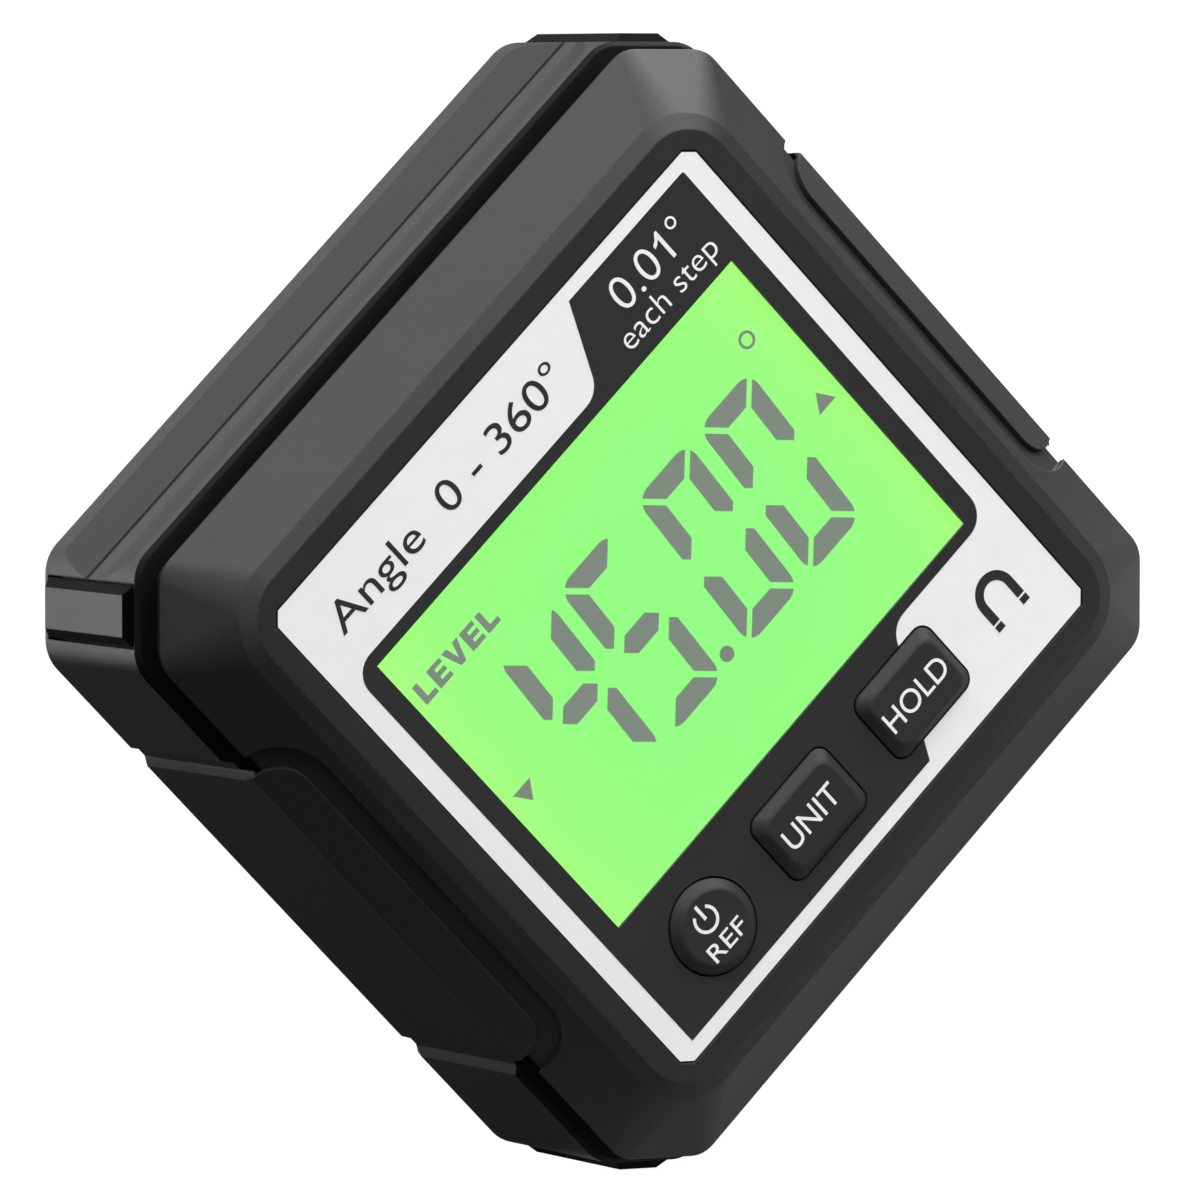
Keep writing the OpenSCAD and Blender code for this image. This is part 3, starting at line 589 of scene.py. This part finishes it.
class GAUGE_OT_display(bpy.types.Operator):
    """Lights the display and draws its digits, marks and window"""

    bl_idname = "gauge.display"
    bl_label = "Display"

    def digit(self, strokes, left, sizes):
        """Outlines of one digit's segments, from the letters of its strokes."""
        wide, high, bend = sizes.digit_w / MM, sizes.digit_h / MM, sizes.digit_round / MM
        flat, side, slit = sizes.segment_t / MM, sizes.segment_w / MM, sizes.segment_gap / MM / math.sqrt(2)
        tip_share = 0.32
        mid, tip = high / 2, tip_share * side

        def corner_turn(shift):
            """Where a slit's edge meets the round corner, in degrees from the right."""
            return 135 - math.degrees(math.asin((side - flat + shift) / bend / math.sqrt(2)))

        left_arc = arc(bend, high - bend, bend, corner_turn(slit), 90, 5)
        top = [(side + slit, high - flat)] + left_arc
        top += [(wide - x, y) for x, y in reversed(left_arc)] + [(wide - side - slit, high - flat)]
        upper = [(side, high - flat - slit)] + arc(bend, high - bend, bend, corner_turn(-slit), 180, 4)
        upper += [(0, mid + slit + 2 * tip), (tip, mid + slit + tip), (side, mid + slit + side)]
        half = flat / 2
        point = side - tip - slit / 2
        bar = [(point, mid), (point + half, mid + half), (wide - point - half, mid + half),
               (wide - point, mid), (wide - point - half, mid - half), (point + half, mid - half)]
        shapes = {"a": (top, 1, 1), "d": (top, 1, -1), "f": (upper, 1, 1), "e": (upper, 1, -1),
                  "b": (upper, -1, 1), "c": (upper, -1, -1), "g": (bar, 1, 1)}
        outlines = []
        for stroke in strokes:
            shape, across, up = shapes[stroke]
            outline = []
            for x, y in shape:
                x = x if across > 0 else wide - x
                y = y - mid if up > 0 else mid - y
                outline.append((left + x + y * math.tan(sizes.digit_slant), sizes.digit_up / MM + y))
            outlines.append(outline)
        return outlines

    def level_word(self):
        """Outlines of the bold word LEVEL."""
        bold_l = [(0, 0), (1.3, 0), (1.3, 0.4), (0.5, 0.4), (0.5, 1.65), (0, 1.65)]
        bold_e = [(0, 0), (1.38, 0), (1.38, 0.38), (0.53, 0.38), (0.53, 0.66), (1.32, 0.66), (1.32, 1.01),
                  (0.53, 1.01), (0.53, 1.3), (1.38, 1.3), (1.38, 1.65), (0, 1.65)]
        bold_v = [(0, 1.65), (0.53, 1.65), (0.85, 0.52), (1.18, 1.65), (1.68, 1.65), (1.1, 0), (0.6, 0)]
        foot = 9.76
        row = ((bold_l, -18.59), (bold_e, -17.05), (bold_v, -15.42), (bold_e, -13.5), (bold_l, -11.8))
        return [[(left + x, foot + y) for x, y in letter] for letter, left in row]

    def execute(self, context):
        colours, sizes = context.scene.gauge_colours, context.scene.gauge_sizes
        paint(lit_finish("lit_display", colours.lit_green, colours.lit_edge), "lcd_glass")

        finish = new_finish("display_segments")
        speck = finish.noise(3000.0, 1.0)
        grey = finish.blend(speck, toned(colours.segment_grey, 0.46), toned(colours.segment_grey, 0.54))
        segments = finish.done(Base_Color=grey, Emission_Color=grey, Emission_Strength=1.0, Roughness=0.5,
                               Specular_IOR_Level=0.1)

        outlines = []
        for strokes, left in (("fgbc", -13.2), ("afgcd", -6.4), ("abcdef", 2.18), ("abcdef", 9.1)):
            outlines += self.digit(strokes, left, sizes)
        outlines.append(circle(0.05, -4.77, 0.58))
        degree = [circle(16.64, 9.65, radius) for radius in (0.67, 0.46)]
        up_mark = [(16.97, 1.73), (18.77, 1.73), (17.87, 3.1)]
        down_mark = [(-18.5, 0.44), (-16.7, 0.44), (-17.6, -0.9)]
        for name, shapes in (("display_digits", outlines), ("display_marks", degree + [up_mark, down_mark]),
                             ("display_level", self.level_word())):
            settle(flat_print(name, shapes, GLASS_Y, sizes.print_t), "case", "display_glass", segments)

        drawn_in, near = 0.08 * MM, 0.01 * MM
        window = merged_copy("display_window", "display_window_film")
        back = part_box("display_window")[1].y
        for vertex in window.data.vertices:
            if vertex.co.y > back - near:
                vertex.co.y -= drawn_in
        clear = clear_finish("clear_window_film", (0.9, 0.95, 0.9), 0.03, 0.12)
        settle(window, "case", "clear_window", clear, "display_window")
        return {"FINISHED"}


class GAUGE_OT_keys(bpy.types.Operator):
    """Dresses the three keys and prints their legends"""

    bl_idname = "gauge.keys"
    bl_label = "Keys"

    def execute(self, context):
        colours, sizes = context.scene.gauge_colours, context.scene.gauge_sizes
        plastic = moulded_finish("key_plastic", colours.key_black, 0.48, 6000.0, 0.012 * MM, sizes.edge_round,
                                 sheen=0.2)
        ink = film_finish("key_print", colours.legend_white)
        for body in ("hold", "unit", "power"):
            node = body + "_key"
            settle(smoothed(merged_copy(node, node + "_cap")), body, "key_plastic", plastic, node)

        for body, words, middle, size in (("hold", "HOLD", (8.06, -17.25), (6.3, 1.7)),
                                          ("unit", "UNIT", (-3.81, -17.21), (5.3, 1.7)),
                                          ("power", "REF", (-14.46, -18.40), (3.5, 1.3))):
            legend = lettering(body + "_legend", words, middle, size, KEY_Y, sizes.print_t, weight=0.002)
            settle(legend, body, "key_plastic", ink)

        x, y, outer, inner = -14.61, -16.17, 1.04, 0.8
        half, high = 0.13, 1.25
        ring = arc(x, y, outer, 130, 410, 28) + arc(x, y, inner, 410, 130, 28)
        bar = [(x - half, y), (x + half, y), (x + half, y + high), (x - half, y + high)]
        settle(flat_print("power_sign", [ring, bar], KEY_Y, sizes.print_t), "power", "key_plastic", ink)
        return {"FINISHED"}


class GAUGE_OT_workings(bpy.types.Operator):
    """Finishes the screws, magnets, cells, contacts and the board behind the face"""

    bl_idname = "gauge.workings"
    bl_label = "Workings"

    def execute(self, context):
        colours = context.scene.gauge_colours
        paint(metal_finish("zinc_screw", (0.42, 0.42, 0.43), 0.34), "case_screws", "board_screws")
        paint(metal_finish("nickel_magnet", (0.66, 0.65, 0.62), 0.22), "left_magnet", "right_magnet")
        paint(metal_finish("sprung_contact", (0.70, 0.68, 0.62), 0.28), "upper_spring", "lower_spring",
              "bridge_contact", "positive_contact", "negative_contact")
        paint(cell_finish("upper_cell_jacket", colours.cell_jacket, colours.cell_band, 1), "upper_cell")
        paint(cell_finish("lower_cell_jacket", colours.cell_jacket, colours.cell_band, -1), "lower_cell")
        paint(board_finish("solder_mask", colours.board_green), "main_board")
        paint(moulded_finish("chip_resin", (0.02, 0.02, 0.02), 0.5, 7000.0, 0.01 * MM, 0),
              "tilt_sensor", "controller_chip", "hold_switch", "unit_switch", "power_switch")
        paint(moulded_finish("white_moulding", (0.78, 0.78, 0.75), 0.45, 6000.0, 0.01 * MM, 0),
              "lcd_holder", "hold_plunger", "unit_plunger", "power_plunger")
        paint(clear_finish("clear_guide", (0.85, 0.95, 0.88), 0.35, 0.1), "light_guide")
        paint(moulded_finish("lamp_resin", (0.85, 0.82, 0.5), 0.3, 5000.0, 0.005 * MM, 0), "backlight_lamps")
        paint(moulded_finish("strip_rubber", (0.45, 0.16, 0.22), 0.6, 5000.0, 0.01 * MM, 0), "contact_strip")
        return {"FINISHED"}


class GAUGE_OT_stage(bpy.types.Operator):
    """Sets the floor, the white ground, the dark screens, the lamps and the camera"""

    bl_idname = "gauge.stage"
    bl_label = "Stage"

    def lamp(self, name, towards, far, size, power):
        """A square soft lamp that faces the middle of the case."""
        light = bpy.data.lights.new(name, "AREA")
        light.size = size
        light.energy = power
        lamp = bpy.data.objects.new(name, light)
        way = Vector(towards).normalized()
        lamp.location = Vector((0, 0, FACE_Z)) + far * way
        lamp.rotation_euler = way.to_track_quat("Z", "Y").to_euler()
        bpy.context.scene.collection.objects.link(lamp)

    def floor(self):
        """White to the camera, and in gloss paler under the object than around it."""
        bpy.ops.object.select_all(action="DESELECT")
        bpy.ops.mesh.primitive_plane_add(size=6, location=(0, 0, 0))
        floor = bpy.context.object
        floor.name = "floor"
        finish = new_finish("pale_floor")
        to_camera, in_gloss = 0.97, 0.48

        # A pale patch that fades to the left, to the right, in front and behind
        across, deep = finish.along("X"), finish.along("Y")
        pale = finish.rising(across - 1.5 * deep, -50 * MM, -20 * MM)
        pale = pale * (1.0 - 0.8 * finish.rising(across, 25 * MM, 60 * MM))
        pale = pale * finish.rising(deep, -25 * MM, 0) * (1.0 - finish.rising(deep, 30 * MM, 80 * MM))
        tone = finish.blend(pale, (0.06,) * 3, (0.5,) * 3)
        matt = finish.node("ShaderNodeBsdfDiffuse", {}, {"Color": tone})
        shown = to_camera * finish.ray("Is Camera Ray")
        shown = shown + in_gloss * pale * finish.ray("Is Glossy Ray", "Is Transmission Ray")
        glow = finish.node("ShaderNodeEmission", {}, {"Color": (1, 1, 1), "Strength": shown})
        finish.close(finish.node("ShaderNodeAddShader", {}, {0: matt, 1: glow}))
        floor.data.materials.append(finish.owner)

    def flag(self):
        """Dark screens, unseen by the camera, that keep the white ground out of the gloss at two sides."""
        mesh = bpy.data.meshes.new("dark_flag")
        points = [(x, y, z) for x, y, high in SCREEN_ENDS for z in (0.0, high)]
        mesh.from_pydata(points, [], [(i, i + 2, i + 3, i + 1) for i in range(0, len(points), 4)])
        flag = bpy.data.objects.new("dark_flag", mesh)
        bpy.context.scene.collection.objects.link(flag)
        finish = new_finish("dark_flag")
        matt = finish.node("ShaderNodeBsdfDiffuse", {}, {"Color": (0.004,) * 3})
        clear = finish.node("ShaderNodeBsdfTransparent")
        unseen = finish.ray("Is Camera Ray")
        finish.close(finish.node("ShaderNodeMixShader", {}, {0: unseen, 1: matt, 2: clear}))
        mesh.materials.append(finish.owner)

    def ground(self, ambient):
        """White where it is seen, directly or in gloss, and a weak even light elsewhere."""
        world = bpy.data.worlds.new("white_ground")
        bpy.context.scene.world = world
        finish = Finish(world)
        shown = finish.ray("Is Camera Ray", "Is Glossy Ray", "Is Transmission Ray")
        strength = ambient + (1 - ambient) * shown
        light = finish.node("ShaderNodeBackground", {}, {"Color": (1, 1, 1), "Strength": strength})
        finish.close(light, "ShaderNodeOutputWorld")

    def camera(self, stage):
        """The photograph's camera, rolled so that the gauge stands on its corner in the picture."""
        lens = bpy.data.cameras.new("photo_camera")
        lens.lens = stage.camera_lens
        camera = bpy.data.objects.new("photo_camera", lens)
        turn, rise = stage.camera_turn, stage.camera_rise
        way = Vector((-math.sin(turn) * math.cos(rise), -math.cos(turn) * math.cos(rise), math.sin(rise)))
        level = way.to_track_quat("Z", "Y").to_matrix()
        rolled = level @ Matrix.Rotation(-stage.camera_roll, 3, "Z")
        camera.location = Vector(stage.camera_aim) + stage.camera_far * way
        camera.rotation_euler = rolled.to_euler()
        bpy.context.scene.collection.objects.link(camera)
        bpy.context.scene.camera = camera

    def execute(self, context):
        stage = context.scene.gauge_stage
        self.floor()
        self.ground(stage.ambient)
        self.flag()
        powers = (stage.top_power, stage.side_power, stage.fill_power, stage.rim_power)
        for (name, towards, far, size), power in zip(LAMPS, powers):
            self.lamp(name, towards, far, size, power)
        self.camera(stage)
        context.scene.view_settings.view_transform = "Standard"
        return {"FINISHED"}


STEPS = (GAUGE_OT_stage, GAUGE_OT_shells, GAUGE_OT_grips, GAUGE_OT_label, GAUGE_OT_display, GAUGE_OT_keys,
         GAUGE_OT_workings)


class GAUGE_PT_panel(bpy.types.Panel):
    """Lists the steps that finish the gauge"""

    bl_idname = "GAUGE_PT_panel"
    bl_label = "Angle gauge"
    bl_space_type = "VIEW_3D"
    bl_region_type = "UI"
    bl_category = "Gauge"

    def draw(self, context):
        for step in STEPS:
            self.layout.operator(step.bl_idname)
        for group in (context.scene.gauge_colours, context.scene.gauge_sizes, context.scene.gauge_stage):
            column = self.layout.column()
            for name in group.__annotations__:
                column.prop(group, name)


CLASSES = (GaugeColours, GaugeSizes, GaugeStage, *STEPS, GAUGE_PT_panel)


def register():
    for item in CLASSES:
        bpy.utils.register_class(item)
    bpy.types.Scene.gauge_colours = PointerProperty(type=GaugeColours)
    bpy.types.Scene.gauge_sizes = PointerProperty(type=GaugeSizes)
    bpy.types.Scene.gauge_stage = PointerProperty(type=GaugeStage)


def unregister():
    del bpy.types.Scene.gauge_stage
    del bpy.types.Scene.gauge_sizes
    del bpy.types.Scene.gauge_colours
    for item in reversed(CLASSES):
        bpy.utils.unregister_class(item)


def main():
    register()
    for step in STEPS:
        family, name = step.bl_idname.split(".")
        getattr(getattr(bpy.ops, family), name)()


if __name__ == "__main__":
    main()
